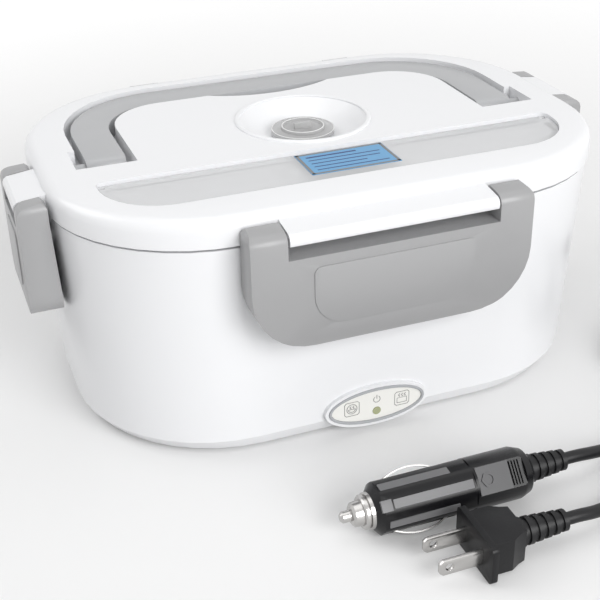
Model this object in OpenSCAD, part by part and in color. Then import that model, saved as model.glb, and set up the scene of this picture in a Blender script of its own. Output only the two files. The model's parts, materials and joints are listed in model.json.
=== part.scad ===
// Electric lunch box: lift-off lid with four flip latches, folding carry handle,
// steam vent, lidded cutlery compartment, heated inside and two loose power leads.
// Origin: centre of the footprint on the surface that the box stands on.
// +X runs along the long front to the right, +Y to the back, +Z up. Millimetres.

/* [Box] */
// Length over the lid edge
box_l = 238; // [232:1:250]
// Depth over the lid edge
box_w = 165; // [162:1:172]
// Plan corner radius of body and lid
corner_r = 62; // [58:1:66]
// Height of the seam between body and lid
seam_z = 96.8; // [94:0.2:104]
// Open gap of the seam
seam_gap = 1.2; // [0.8:0.1:1.6]
// Height of the lid's edge and crown together
lid_h = 11.4; // [11:0.2:13]
// Radius of the lid's top edge
lid_edge_r = 5; // [4:0.5:6]
// How far the lid stands out past the body
lid_overhang = 0.6; // [0.3:0.1:1]
// How far each wall leans in from the rim to the chamfer
wall_lean = 3.7; // [2:0.1:4.5]
// Height of the chamfer round the base
chamfer_h = 6; // [4:0.5:8]
// Width of the chamfer round the base
chamfer_in = 3.4; // [2:0.2:4.5]
// Wall of the outer shell
shell_wall = 2.4; // [2:0.1:2.8]
// Wall of the lid shell
lid_wall = 2; // [1.8:0.1:2.4]

/* [Feet and bottom] */
// Height of the rubber feet
foot_h = 1.5; // [1:0.1:2.5]
// Radius of a rubber foot
foot_r = 7; // [5:0.5:9]
// Feet from the centre, along the box
foot_x = 66; // [50:1:72]
// Feet from the centre, across the box
foot_y = 50; // [40:1:54]
// Thickness of the bottom cover
cover_t = 2.4; // [2:0.1:3]
// Cover screws from the centre, along the box
post_x = 86; // [80:1:90]
// Cover screws from the centre, across the box
post_y = 34; // [28:1:38]
// Radius of the posts that take the cover screws
post_r = 3.6; // [3.2:0.1:4.5]
// Radius of the screws' shanks
screw_r = 1.5; // [1.2:0.1:1.7]

/* [Inner tub, container and tray] */
// Width of the ledge that carries the tub
ledge_w = 2; // [1.5:0.1:2.4]
// Depth of that ledge below the rim
ledge_drop = 4.7; // [4.2:0.1:5.5]
// Thickness of the tub's flange and floor
tub_t = 2; // [1.6:0.1:2.4]
// Wall of the tub
tub_wall = 1.8; // [1.5:0.1:2.2]
// Height of the heating plate's top face
plate_top = 36; // [34:0.5:40]
// Length of the heating plate's raised face
plate_l = 150; // [140:1:156]
// Depth of the heating plate's raised face
plate_w = 90; // [80:1:96]
// How far the raised face stands above the tub's floor
plate_rise = 1; // [0.6:0.1:1.4]
// Thickness of the heating plate's flange
flange_t = 2; // [1.5:0.1:3]
// Width of the heating plate's flange
flange_w = 10; // [9:0.5:12]
// Sheet of the steel container
steel_t = 0.8; // [0.6:0.1:1]
// How far the container's walls lean in
container_lean = 6; // [4:0.5:7]
// Length of the food tray
tray_l = 68; // [60:1:72]
// Depth of the food tray
tray_w = 104; // [96:1:108]
// Height of the food tray
tray_h = 42; // [35:1:50]
// Wall of the food tray
tray_wall = 1.5; // [1.2:0.1:2]
// Centre of the food tray, along the box
tray_x = 54; // [48:1:56]

/* [Heater] */
// Length of the heating element's loop
element_l = 104; // [90:1:112]
// Depth of the heating element's loop
element_w = 62; // [56:1:68]
// Width of the element's band
element_band = 7; // [5:0.5:9]
// Thickness of the element
element_t = 4; // [3:0.5:5]
// Depth of the heat shield
shield_h = 12; // [11:0.5:14]
// Radius of the thermostat
thermostat_r = 8; // [6:0.5:9]
// Height of the thermostat's case
thermostat_h = 6; // [5:0.5:8]
// Radius of the thermal fuse
fuse_r = 2; // [1.6:0.1:2.6]

/* [Indicator panel] */
// Centre of the panel, along the box
panel_x = -1; // [-4:0.5:4]
// Height of the panel's centre
panel_z = 11.3; // [11:0.1:13]
// Half length of the panel's ring
panel_a = 21.8; // [20:0.2:23]
// Half height of the panel's ring
panel_b = 8.4; // [7.6:0.1:8.6]
// Width of the panel's ring
bezel_w = 1.3; // [1:0.1:1.8]
// Rim of the boss round the panel
boss_rim = 1.4; // [1:0.1:1.6]
// Front of the boss, back from the lid's edge
boss_set = 2; // [1.6:0.1:2.6]
// Radius of the power light
led_r = 1.8; // [1.5:0.1:2.2]
// Power light below the panel's centre
led_drop = 3.1; // [2.6:0.1:3.4]

/* [Power inlets] */
// Height of both inlets
inlet_z = 25; // [23:0.5:28]
// Mains inlet, along the side
ac_y = 10; // [9:0.5:12]
// 12 V inlet, along the side
dc_y = -11; // [-12:0.5:-9]
// Radius of the mains inlet's barrel
ac_r = 7; // [6:0.1:7.4]
// Radius of the 12 V inlet's barrel
dc_r = 5; // [4:0.1:5.5]
// Depth of the inlets' pocket behind the wall
pocket_in = 3.2; // [2.6:0.1:3.6]

/* [Latches] */
// Width of the front and back latches
latch_l = 116; // [110:1:122]
// Width of the side latches
latch_s = 47; // [42:1:50]
// Width of one ear
ear_w = 14.5; // [12.5:0.5:16]
// Width of one ear of a side latch
ear_s = 8.5; // [7.5:0.5:9.5]
// Side latches, along the side
latch_y = -11.5; // [-13:0.5:0]
// Hinge line outside the lid's edge
hinge_out = 8; // [7.9:0.1:8.6]
// Hinge line above the lid's lower edge
hinge_up = 3.9; // [3.7:0.1:4.1]
// Latch below the hinge line
latch_drop = 45.5; // [42:0.5:52]
// Latch face outside the hinge line
latch_out = 4.5; // [4.2:0.1:5]
// Wall of a latch
latch_wall = 2.4; // [2:0.1:2.8]
// Radius of the hinge pins
pin_r = 1.25; // [1:0.05:1.4]
// Running clearance of the ears on their pin
pin_gap = 0.05; // [0.03:0.01:0.08]
// Raised pad on a latch's face
pad_t = 0.5; // [0.3:0.1:0.8]

/* [Carry handle] */
// Length over the handle
handle_l = 196; // [190:1:198]
// Handle's back edge from the box's centre
handle_back = 70; // [68:0.5:71]
// Corner radius of the handle
handle_r = 44; // [40:1:46]
// Width of the arms and of the grip
handle_w = 16.5; // [14:0.5:17.5]
// Thickness of the handle
handle_t = 8; // [7.4:0.1:8.2]
// Handle's pivot line from the box's centre
pivot_y = -1.5; // [-3:0.5:1]
// Gap round the handle in its channel
channel_gap = 2.8; // [2.2:0.1:3]
// Channel's front wall from the box's centre
channel_front = -14; // [-15:0.5:-12]
// Radius of the handle's pins
handle_pin_r = 2; // [1.6:0.1:2.4]
// Length of the finger notch
notch_l = 60; // [50:1:70]
// Depth of the finger notch
notch_d = 8; // [6:0.5:9]

/* [Vent] */
// Vent's centre behind the box's centre
vent_y = 5; // [3:0.5:7]
// Radius of the vent's dish at the top
dish_r = 28; // [26:0.5:29]
// Depth of the dish
dish_h = 7.2; // [6.8:0.1:7.4]
// Radius of the vent hole
vent_hole_r = 8; // [6:0.5:9]
// Radius of the vent plug's disc
plug_r = 14; // [12:0.5:15]

/* [Window] */
// Length of the window's opening
window_l = 200; // [190:1:202]
// Window's straight back edge from the centre
window_back = -30.5; // [-30.5:0.5:-29.5]
// Window's front edge from the centre
window_front = -62; // [-63:0.5:-61]
// Corner radius at the window's front
window_r = 26; // [20:0.5:26]
// Window cover below the lid's top
window_set = 1.2; // [1:0.1:1.4]
// Thickness of the window cover
window_t = 2; // [1.6:0.1:2.2]
// Ledge that carries the window cover
window_ledge = 3; // [2:0.5:4]
// Clearance round the window cover
window_gap = 0.4; // [0.3:0.1:0.6]
// Radius of the window cover's hinge pins
window_pin_r = 0.9; // [0.7:0.05:0.95]

/* [Power leads] */
// Diameter of both leads
cord_d = 5; // [4.6:0.1:5.2]
// Length of a mains blade
blade_l = 17; // [15:0.5:18]
// Distance between the mains blades
blade_pitch = 12.7; // [12.7]
// Width of a mains blade
blade_w = 6.35; // [6.35]
// Thickness of a mains blade
blade_t = 1.5; // [1.4:0.05:1.6]
// Width of the mains plug's face
face_w = 27; // [24:0.5:27]
// Height of the mains plug's face
face_h = 16; // [15:0.5:16]
// Radius of the car plug's barrel
barrel_r = 10.2; // [9.8:0.1:10.4]
// Length of the car plug's barrel
barrel_l = 66; // [62:1:70]
// Radius of the car plug's spring tip
tip_r = 2.2; // [1.8:0.1:2.4]
// Travel of the spring tip
tip_travel = 2.5; // [1.5:0.5:3]
// Radius of the box-end connectors
connector_r = 6; // [5.4:0.2:6]

/* [Hidden] */
$fn = 32;

eps = 0.01;
fit = 0.3;                                  // gap between pieces that only sit together
arc_n = 10;                                 // steps in a quarter of a plan corner
hl = box_l/2;
hw = box_w/2;

// Heights
body_top = seam_z - seam_gap/2;
lid_z = seam_z + seam_gap/2;
lid_top = lid_z + lid_h;
chamfer_z = foot_h + chamfer_h;
cover_z = foot_h + cover_t;
ledge_z = body_top - ledge_drop;
rim_z = ledge_z + tub_t;                    // tub flange's top, where the container hangs
steel_top = rim_z + steel_t;
floor_z = plate_top - plate_rise;           // tub floor's top
tub_z = floor_z - tub_t;                    // tub floor's underside
flange_z = tub_z - flange_t;                // heating plate's underside
liner_t = 2;
liner_z = lid_z - liner_t;

// Insets from the lid's outline
base_in = lid_overhang + wall_lean + chamfer_in;
seat_t = lean(ledge_z) + shell_wall + fit;   // tub flange's edge
tub_in = lid_overhang + shell_wall + ledge_w + 1.2;
steel_in = tub_in + tub_wall + fit*2;
rim_in = seat_t + 2.7;                      // container rim's edge
seal_in = rim_in - 0.7;
seal_w = 4.7;

function lean(z) = lid_overhang + wall_lean*(body_top - z)/(body_top - chamfer_z);

// ---------- Outlines ----------

function arc(cx, cy, r, a0, n = arc_n) =
    [for (i = [0 : n]) [cx + r*cos(a0 + 90*i/n), cy + r*sin(a0 + 90*i/n)]];

// Rounded rectangle by half sizes
function rounded(a, b, r, n = arc_n) = concat(
    arc(a - r, b - r, r, 0, n), arc(r - a, b - r, r, 90, n),
    arc(r - a, r - b, r, 180, n), arc(a - r, r - b, r, 270, n));

// Straight across at y0, round corners at y1
function arch(a, y0, y1, r, n = arc_n) =
    let (far = concat([[-a, y0], [a, y0]], arc(a - r, y1 - r, r, 0, n), arc(r - a, y1 - r, r, 90, n)))
    far;

// Upright outline with its own radii below and above
function shield_shape(a, z0, z1, r0, r1, n = 8) = concat(
    arc(a - r1, z1 - r1, r1, 0, n), arc(r1 - a, z1 - r1, r1, 90, n),
    arc(r0 - a, z0 + r0, r0, 180, n), arc(a - r0, z0 + r0, r0, 270, n));

function ellipse_shape(a, b, n = 40) = [for (i = [0 : n - 1]) [a*cos(360*i/n), b*sin(360*i/n)]];

// The box's own outline: leaned in by lean_in, then offset by t
function plan(lean_in, t) = rounded(hl - lean_in - t, hw - lean_in - t, corner_r - t);
function ring(lean_in, t, z) = [for (p = plan(lean_in, t)) [p.x, p.y, z]];

// Solid through rings of equal counts; a loop joins the last ring to the first
module loft(rings, loop = false) {
    n = len(rings[0]);
    m = len(rings);
    sides = [for (j = [0 : m - (loop ? 1 : 2)]) for (i = [0 : n - 1])
        let (a = j*n, b = ((j + 1) % m)*n, k = (i + 1) % n) [a + i, b + i, b + k, a + k]];
    caps = loop ? [] : [[for (i = [0 : n - 1]) i], [for (i = [n - 1 : -1 : 0]) (m - 1)*n + i]];
    polyhedron([for (one = rings) each one], concat(sides, caps));
}

module plate(points, z0, z1) translate([0, 0, z0]) linear_extrude(z1 - z0) polygon(points);

// Extrudes an XZ outline along Y, and a YZ outline along X
module along_y(points, y0, y1)
    translate([0, y1, 0]) rotate([90, 0, 0]) linear_extrude(y1 - y0) polygon(points);
module along_x(points, x0, x1)
    translate([x0, 0, 0]) rotate([90, 0, 90]) linear_extrude(x1 - x0) polygon(points);

module four(x, y) for (sx = [-1, 1]) for (sy = [-1, 1]) translate([sx*x, sy*y, 0]) children();
module rod_x(r, x0, x1) translate([x0, 0, 0]) rotate([0, 90, 0]) cylinder(r = r, h = x1 - x0);
module rod_y(r, y0, y1) translate([0, y1, 0]) rotate([90, 0, 0]) cylinder(r = r, h = y1 - y0);

// ---------- Latches: shared frame, hinge line on local X, outside is local -Y ----------

hinge_z = lid_z + hinge_up;
catch_in = 4.5;                             // catch's outer face from the hinge line
catch_z0 = -15.7;
catch_z1 = -12.7;
bar_gap = 0.8;                              // between the hinge bar and each ear
slot_z = -7.4;                              // bottom of the slot between the ears
web_t = 2.5;

module at_front() translate([0, -hw - hinge_out, hinge_z]) children();
module at_back() translate([0, hw + hinge_out, hinge_z]) rotate([0, 0, 180]) children();
module at_left() translate([-hl - hinge_out, latch_y, hinge_z]) rotate([0, 0, -90]) children();
module at_right() translate([hl + hinge_out, -latch_y, hinge_z]) rotate([0, 0, 90]) children();

// Runs a child for the long latches (front, back), or the short ones (left, right)
module at_long() { at_front() children(); at_back() children(); }
module at_short() { at_left() children(); at_right() children(); }

slot_l = latch_l - 2*ear_w;
slot_s = latch_s - 2*ear_s;

// Section of the hinge bar that the lid carries
module hinge_bar(slot) {
    reach = hinge_out + lid_wall;
    along_x([[reach, -2.4], [-3.2, -2.4], [-4.2, -1.9], [-4.6, -0.9], [-4.6, 0.4],
        [-4, 1.7], [-2.8, 2.6], [reach, 4.2]], bar_gap - slot/2, slot/2 - bar_gap);
}

module hinge_hole(slot) rod_x(pin_r + 0.02, -slot/2, slot/2);

module catch_rib(slot)
    translate([4 - slot/2, catch_in, catch_z0])
        cube([slot - 8, hinge_out + lean(hinge_z + catch_z0) + 1 - catch_in, catch_z1 - catch_z0]);

module latch(width, ear, low_r) {
    slot = width - 2*ear;
    a = width/2;
    in_top = hinge_out - 0.5;
    in_low = in_top + wall_lean*latch_drop/body_top;
    hook_top = catch_z0 - fit;
    difference() {
        intersection() {
            along_y(shield_shape(a, -latch_drop, 5, low_r, 4.5), -latch_out - 1, in_low + 1);
            along_x([[-latch_out + 1, -latch_drop - 1], [in_low, -latch_drop - 1],
                [in_top, -5], [in_top, 1.8], [5.8, 4], [-0.8, 3.3], [-2.7, 2.5], [-3.9, 1.3], [-latch_out, -0.5],
                [-latch_out, 3 - latch_drop], [-latch_out + 0.6, 1 - latch_drop]], -a - 1, a + 1);
        }
        along_y(shield_shape(a - latch_wall, latch_wall - latch_drop, slot_z - web_t,
            low_r - latch_wall, 2), latch_wall - latch_out, in_low + 2);
        translate([-slot/2, -latch_out - 1, slot_z]) cube([slot, hinge_out + latch_out + 2, 20]);
        rod_x(pin_r + pin_gap, 2.7 - a, a - 2.7);
    }
    // Hook that pulls under the catch
    translate([6 - slot/2, latch_wall - latch_out - eps, hook_top - 2.4])
        cube([slot - 12, hinge_out + latch_out - latch_wall + 0.3, 2.4]);
    // Raised pad
    pad_a = slot/2 - 10*slot/slot_l;
    along_y(shield_shape(pad_a, 8.5 - latch_drop, slot_z - 4.4, min(13, low_r - 3), 3),
        -latch_out - pad_t, eps - latch_out);
}

module latch_pin(width) rod_x(pin_r, 3 - width/2, width/2 - 3);

module latch_front() color("darkgray") at_front() latch(latch_l, ear_w, 25);
module latch_back() color("darkgray") at_back() latch(latch_l, ear_w, 25);
module latch_left() color("darkgray") at_left() latch(latch_s, ear_s, 10);
module latch_right() color("darkgray") at_right() latch(latch_s, ear_s, 10);
module hinge_pins_long() color("silver") at_long() latch_pin(latch_l);
module hinge_pins_short() color("silver") at_short() latch_pin(latch_s);

// ---------- Body ----------

panel_front = boss_set - hw;                // Y of the boss's front face
panel_deep = 1.6;                           // recess that the panel sits in
board_y = base_in + shell_wall - hw + 2;    // front face of the light board
inlet_a = 24.5;                             // half length of the inlets' pocket
inlet_b = 9.5;                              // half height of the inlets' pocket
bulkhead_x = hl - lean(inlet_z) - pocket_in;
led_z = panel_z - led_drop;

module panel_boss() {
    translate([panel_x, 0, panel_z])
        along_y(ellipse_shape(panel_a + boss_rim, panel_b + boss_rim), panel_front, board_y - 2);
    for (side = [-1, 1]) translate([panel_x + side*10, 0, led_z]) rod_y(1.5, board_y - 3, board_y);
}

module inlet_block() translate([0, 0, inlet_z])
    along_x(shield_shape(inlet_a + shell_wall, -inlet_b - shell_wall, inlet_b + shell_wall, 8, 8),
        bulkhead_x - shell_wall, hl - lean(inlet_z - inlet_b - shell_wall) - 0.8);

module inlet_pocket() {
    translate([0, 0, inlet_z])
        along_x(shield_shape(inlet_a, -inlet_b, inlet_b, 6, 6), bulkhead_x, hl + 5);
    translate([0, ac_y, inlet_z]) rod_x(ac_r + 0.1, bulkhead_x - shell_wall - 1, bulkhead_x + 1);
    translate([0, dc_y, inlet_z]) rod_x(dc_r + 0.1, bulkhead_x - shell_wall - 1, bulkhead_x + 1);
}

module outer_shell() color("white") difference() {
    union() {
        loft([
            ring(base_in, 0, foot_h),
            ring(lean(chamfer_z), 0, chamfer_z),
            ring(lean(body_top), 0, body_top),
            ring(lean(body_top), shell_wall, body_top),
            ring(lean(ledge_z), shell_wall, ledge_z),
            ring(lean(ledge_z), shell_wall + ledge_w, ledge_z),
            ring(lean(ledge_z - 2), shell_wall + ledge_w, ledge_z - 2),
            ring(lean(ledge_z - 5), shell_wall, ledge_z - 5),
            ring(lean(chamfer_z), shell_wall, chamfer_z),
            ring(base_in, shell_wall, foot_h)], loop = true);
        panel_boss();
        inlet_block();
        at_long() catch_rib(slot_l);
        at_short() catch_rib(slot_s);
    }
    translate([panel_x, 0, panel_z])
        along_y(ellipse_shape(panel_a, panel_b), panel_front - 1, panel_front + panel_deep);
    translate([panel_x, 0, led_z]) rod_y(led_r + 0.1, panel_front - 1, board_y);
    inlet_pocket();
}

boss_x = plate_l/2 + flange_w/2;            // plate screws
boss_y = 12;
boss_r = 3.2;
flange_r = 40;
plate_r = 30;

module inner_tub() color("whitesmoke") difference() {
    union() {
        loft([
            [for (p = rounded(plate_l/2, plate_w/2, plate_r)) [p.x, p.y, tub_z]],
            ring(container_lean, tub_in, tub_z),
            ring(0, tub_in, ledge_z),
            ring(lean(ledge_z), shell_wall + fit, ledge_z),
            ring(lean(ledge_z), shell_wall + fit, rim_z),
            ring(0, tub_in + tub_wall, rim_z),
            ring(container_lean, tub_in + tub_wall, floor_z),
            [for (p = rounded(plate_l/2, plate_w/2, plate_r)) [p.x, p.y, floor_z]]], loop = true);
        four(post_x, post_y) translate([0, 0, cover_z]) cylinder(r = post_r, h = tub_z + 1 - cover_z);
        four(boss_x, boss_y) translate([0, 0, flange_z + fit])
            cylinder(r = boss_r, h = flange_t + 1 - fit);
    }
    four(post_x, post_y) translate([0, 0, cover_z - 1]) cylinder(r = screw_r + 0.02, h = 12);
    four(boss_x, boss_y) translate([0, 0, flange_z - 1])
        cylinder(r = screw_r + 0.02, h = flange_t + tub_t + 0.4);
}

module bottom_cover() color("gainsboro") difference() {
    plate(plan(base_in, shell_wall + fit), foot_h, cover_z);
    four(post_x, post_y) translate([0, 0, foot_h - 1]) {
        cylinder(r = screw_r + 0.1, h = cover_t + 2);
        cylinder(r = 2*screw_r + 0.1, h = 2.2);
    }
    four(foot_x, foot_y) translate([0, 0, foot_h - 1]) cylinder(r = 2.1, h = 2.2);
}

module rubber_feet() color("dimgray") four(foot_x, foot_y) {
    cylinder(r = foot_r, h = foot_h);
    cylinder(r = 2, h = foot_h + 1);
}

module screw(head_r, head_h, shank) {
    cylinder(r = head_r, h = head_h);
    cylinder(r = screw_r, h = head_h + shank);
}

module cover_screws() color("silver") four(post_x, post_y)
    translate([0, 0, foot_h + 0.2]) screw(2*screw_r, 1, cover_t + screw_bite);

module heating_plate() color("lightgray") difference() {
    union() {
        plate(rounded(plate_l/2 + flange_w, plate_w/2 + flange_w, flange_r), flange_z, tub_z);
        plate(rounded(plate_l/2 - fit, plate_w/2 - fit, plate_r - fit), tub_z - 1, plate_top);
    }
    four(boss_x, boss_y) translate([0, 0, flange_z - 1]) cylinder(r = boss_r + fit, h = flange_t + 1);
}

module plate_screws() color("silver") four(boss_x, boss_y)
    translate([0, 0, flange_z - 1.6]) screw(boss_r + 1.6, 1.6, flange_t + 1);

element_z = flange_z - element_t;
screw_bite = 7;                             // shank of a screw past what it holds

module heating_element() color("peru") {
    difference() {
        plate(rounded(element_l/2, element_w/2, element_w/2 - 4), element_z, flange_z);
        plate(rounded(element_l/2 - element_band, element_w/2 - element_band,
            element_w/2 - 4 - element_band), element_z - 1, flange_z + 1);
        translate([element_l/2 - element_band - 1, -4, element_z - 1])
            cube([element_band + 2, 8, element_t + 2]);
    }
    for (side = [-1, 1]) translate([0, side*7.5, element_z + element_t/2])
        rod_x(1.2, element_l/2 - 1, pin_end);
}

shield_a = element_l/2 + 15;
shield_b = element_w/2 + 15;

module heat_shield() color("lightsteelblue") difference() {
    plate(rounded(shield_a, shield_b, 24), flange_z - shield_h, flange_z);
    plate(rounded(shield_a - 0.8, shield_b - 0.8, 23.2), flange_z - shield_h + 0.8, flange_z + 1);
    // Way out for the wires
    translate([shield_a - 3, -12, flange_z - shield_h + 4]) cube([6, 24, shield_h]);
}

module thermostat() color("black") {
    translate([0, 0, flange_z - thermostat_h]) cylinder(r = thermostat_r, h = thermostat_h - 1);
    translate([0, 0, flange_z - 1.2]) cylinder(r = thermostat_r + 1, h = 1.2);
    for (side = [-1, 1]) translate([side*4 - 2, -thermostat_r - 5, flange_z - thermostat_h + 1])
        cube([4, 6, 0.8]);
}

fuse_y = element_w/2 - element_band - fuse_r - 3;
module thermal_fuse() color("wheat") translate([0, fuse_y, flange_z - fuse_r]) {
    rod_x(fuse_r, -6, 6);
    rod_x(0.5, -12, 12);
}

// A round panel socket along X: flange outside, barrel and nut inside
module socket(r, depth, bore) {
    difference() {
        union() {
            rod_x(r, -depth, 1);
            rod_x(r + 1.6, 0, 1.5);
            rod_x(r + 2, -shell_wall - 2.4, -shell_wall);
        }
        rod_x(bore, 2 - depth, 3);
    }
}

module ac_inlet() color("black") translate([bulkhead_x, ac_y, inlet_z]) {
    socket(ac_r, 14, ac_r - 1.3);
    for (side = [-1, 1]) translate([0, side*2.6, 0]) rod_x(1.2, -13, -1);
}

module dc_inlet() color("black") translate([bulkhead_x, dc_y, inlet_z]) {
    socket(dc_r, 12, 2.75);
    rod_x(1, -11, -1);
}

module panel_bezel() color("gray") translate([panel_x, 0, panel_z]) difference() {
    along_y(ellipse_shape(panel_a - 0.1, panel_b - 0.1), panel_front - 0.5, panel_front + panel_deep);
    along_y(ellipse_shape(panel_a - bezel_w, panel_b - bezel_w), panel_front - 1, panel_front + 2);
}

module panel_face() color("ivory") translate([panel_x, 0, 0]) difference() {
    translate([0, 0, panel_z]) along_y(ellipse_shape(panel_a - bezel_w - 0.1, panel_b - bezel_w - 0.1),
        panel_front + 0.2, panel_front + panel_deep);
    translate([0, 0, led_z]) rod_y(led_r + 0.1, panel_front - 1, panel_front + 3);
}

module power_led() color("yellowgreen") translate([panel_x, 0, led_z]) {
    rod_y(led_r, panel_front, board_y);
    rod_y(led_r + 0.6, board_y - 1.5, board_y);
}

module led_board() color("darkgreen") {
    translate([panel_x - 15, board_y, led_z - 4]) cube([30, 1.2, 9]);
    translate([panel_x + 5, board_y + 1.2, led_z]) rod_x(1, -3, 3);
}

// ---------- Food container and tray ----------

steel_z = plate_top + fit;

module steel_container() color("silver") loft([
    ring(container_lean + 4, steel_in, steel_z),
    ring(container_lean + 1.2, steel_in, steel_z + 1.2),
    ring(container_lean, steel_in, steel_z + 4),
    ring(0, steel_in, rim_z),
    ring(0, rim_in, rim_z),
    ring(0, rim_in, steel_top),
    ring(0, steel_in + steel_t, steel_top),
    ring(container_lean, steel_in + steel_t, steel_z + 4),
    ring(container_lean + 1.2, steel_in + steel_t, steel_z + 1.2 + steel_t*0.6),
    ring(container_lean + 4, steel_in + steel_t, steel_z + steel_t)]);

tray_z = steel_z + steel_t + fit;
tray_r = 20;

module food_tray() color("azure") translate([tray_x, 0, 0]) difference() {
    union() {
        plate(rounded(tray_l/2 - 1.5, tray_w/2 - 1.5, tray_r - 1.5), tray_z, tray_z + tray_h);
        plate(rounded(tray_l/2, tray_w/2, tray_r), tray_z + tray_h - 2, tray_z + tray_h);
    }
    plate(rounded(tray_l/2 - 1.5 - tray_wall, tray_w/2 - 1.5 - tray_wall, tray_r - 1.5 - tray_wall),
        tray_z + tray_wall, tray_z + tray_h + 1);
}

// ---------- Lid ----------

channel_z = lid_z + lid_wall;
handle_z = channel_z + fit;
pivot_z = handle_z + handle_t/2;
channel_a = handle_l/2 + channel_gap;
island_a = handle_l/2 - handle_w - channel_gap;
island_back = handle_back - handle_w - channel_gap;
island_r = handle_r - handle_w - channel_gap;
pocket_x = channel_a + 3;                   // channel's wall at the handle's pivots
pocket_back = 6;
dish_z = lid_top - dish_h;
cover_low = lid_top - window_set - window_t;
window_pivot_y = window_back - window_gap - window_t/2;
window_pivot_z = cover_low + window_t/2;
liner_spots = [[-60, -22], [60, -22], [-60, 30], [60, 30]];

function window_shape(grow) = shield_shape(window_l/2 + grow, window_front - grow,
    window_back + grow, window_r + grow, 4 + grow, 10);

// The handle's channel in plan, grown by a wall
module channel_plan(grow) {
    notch_r = (pow(notch_l/2, 2) + notch_d*notch_d)/(2*notch_d);
    difference() {
        polygon(arch(channel_a + grow, channel_front - grow, handle_back + channel_gap + grow,
            handle_r + channel_gap + grow));
        difference() {
            polygon(arch(island_a - grow, channel_front - grow - 40, island_back - grow,
                island_r - grow));
            translate([0, island_back - notch_d + notch_r]) circle(r = notch_r + grow, $fn = 96);
        }
    }
    for (side = [-1, 1]) mirror([side < 0 ? 1 : 0, 0])
        translate([island_a - grow, channel_front - grow])
            square([pocket_x - island_a + 2*grow, pocket_back - channel_front + 2*grow]);
}

module lid_outside() loft(concat(
    [ring(0, 0, lid_z)],
    [for (a = [0 : 22.5 : 90])
        ring(0, lid_edge_r*(1 - cos(a)), lid_top - lid_edge_r + lid_edge_r*sin(a))]));

module lid_inside() loft([
    ring(0, lid_wall, lid_z - 1),
    ring(0, lid_wall, lid_top - lid_edge_r - 1),
    ring(0, lid_wall + 1.5, lid_top - lid_wall - 1.2),
    ring(0, lid_wall + 4, lid_top - lid_wall)]);

// What hangs under the lid's skin: channel, window pocket, dish and screw bosses
module lid_blocks() {
    translate([0, 0, lid_z]) linear_extrude(lid_top - 1 - lid_z) channel_plan(lid_wall);
    plate(window_shape(lid_wall), lid_z, lid_top - 1);
    translate([0, vent_y, 0]) rotate_extrude($fn = 64)
        polygon([[0, lid_z], [plug_r + 5, lid_z], [dish_r + lid_wall, lid_top - 2],
            [dish_r + lid_wall, lid_top - 1], [0, lid_top - 1]]);
    for (spot = liner_spots) translate([spot.x, spot.y, lid_z]) cylinder(r = 3.4, h = lid_h - 1);
}

module dish_cut() translate([0, vent_y, 0]) {
    rotate_extrude($fn = 64) polygon([[0, dish_z], [plug_r + 1.5, dish_z], [plug_r + 4, dish_z + 0.7],
        [plug_r + 8, dish_z + dish_h*0.38], [dish_r - 3, dish_z + dish_h*0.7], [dish_r, lid_top],
        [dish_r, lid_top + 1], [0, lid_top + 1]]);
    translate([0, 0, lid_z - 1]) cylinder(r = vent_hole_r, h = lid_h);
}

module lid_shell() color("white") {
    lid_body();
    // Post under the window cover
    translate([-21, -42, channel_z - 0.5]) cylinder(r = 2.2, h = cover_low - fit - channel_z + 0.5);
}

module lid_body() difference() {
    union() {
        lid_outside();
        at_long() hinge_bar(slot_l);
        at_short() hinge_bar(slot_s);
        translate([0, vent_y, lid_top - 1]) rotate_extrude($fn = 64)
            polygon([[dish_r - 0.4, 0], [dish_r + 2.1, 0], [dish_r + 2, 1.5], [dish_r + 1.4, 1.9],
                [dish_r + 0.4, 1.9], [dish_r - 0.2, 1.5]]);
    }
    difference() {
        lid_inside();
        lid_blocks();
    }
    translate([0, 0, channel_z]) linear_extrude(lid_h) channel_plan(0);
    dish_cut();
    plate(window_shape(0), cover_low, lid_top + 1);
    plate(window_shape(-window_ledge), channel_z, cover_low + 1);
    translate([0, window_pivot_y, window_pivot_z])
        rod_x(window_pin_r + pin_gap, -window_l/2 - 2, window_l/2 + 2);
    translate([0, pivot_y, pivot_z]) for (side = [-1, 1]) mirror([side < 0 ? 1 : 0, 0, 0])
        rod_x(handle_pin_r + pin_gap, pocket_x - 1, pocket_x + lid_wall + 1);
    at_long() hinge_hole(slot_l);
    at_short() hinge_hole(slot_s);
    for (spot = liner_spots) translate([spot.x, spot.y, lid_z - 1]) cylinder(r = 1.22, h = 7);
}

module lid_liner() color("whitesmoke") difference() {
    union() {
        plate(plan(0, seal_in), liner_z + liner_t*0.6, lid_z);
        plate(plan(0, seal_in + seal_w), liner_z, lid_z);
        difference() {
            plate(plan(0, seal_in + seal_w + 2), liner_z - 2.5, liner_z + 1);
            plate(plan(0, seal_in + seal_w + 3.6), liner_z - 3, liner_z);
        }
    }
    translate([0, vent_y, liner_z - 1]) cylinder(r = vent_hole_r, h = liner_t + 2);
    for (spot = liner_spots) translate([spot.x, spot.y, liner_z - 1]) {
        cylinder(r = 1.3, h = liner_t + 2);
        cylinder(r = 2.9, h = 2.2);
    }
}

module lid_seal() color("lightgray") difference() {
    plate(plan(0, seal_in), steel_top + fit, liner_z + liner_t*0.6);
    plate(plan(0, seal_in + seal_w), steel_top, lid_z);
}

module liner_screws() color("silver") for (spot = liner_spots)
    translate([spot.x, spot.y, liner_z + 0.1]) {
        cylinder(r = 2.7, h = 1.1);
        cylinder(r = 1.2, h = screw_bite);
    }

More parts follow.
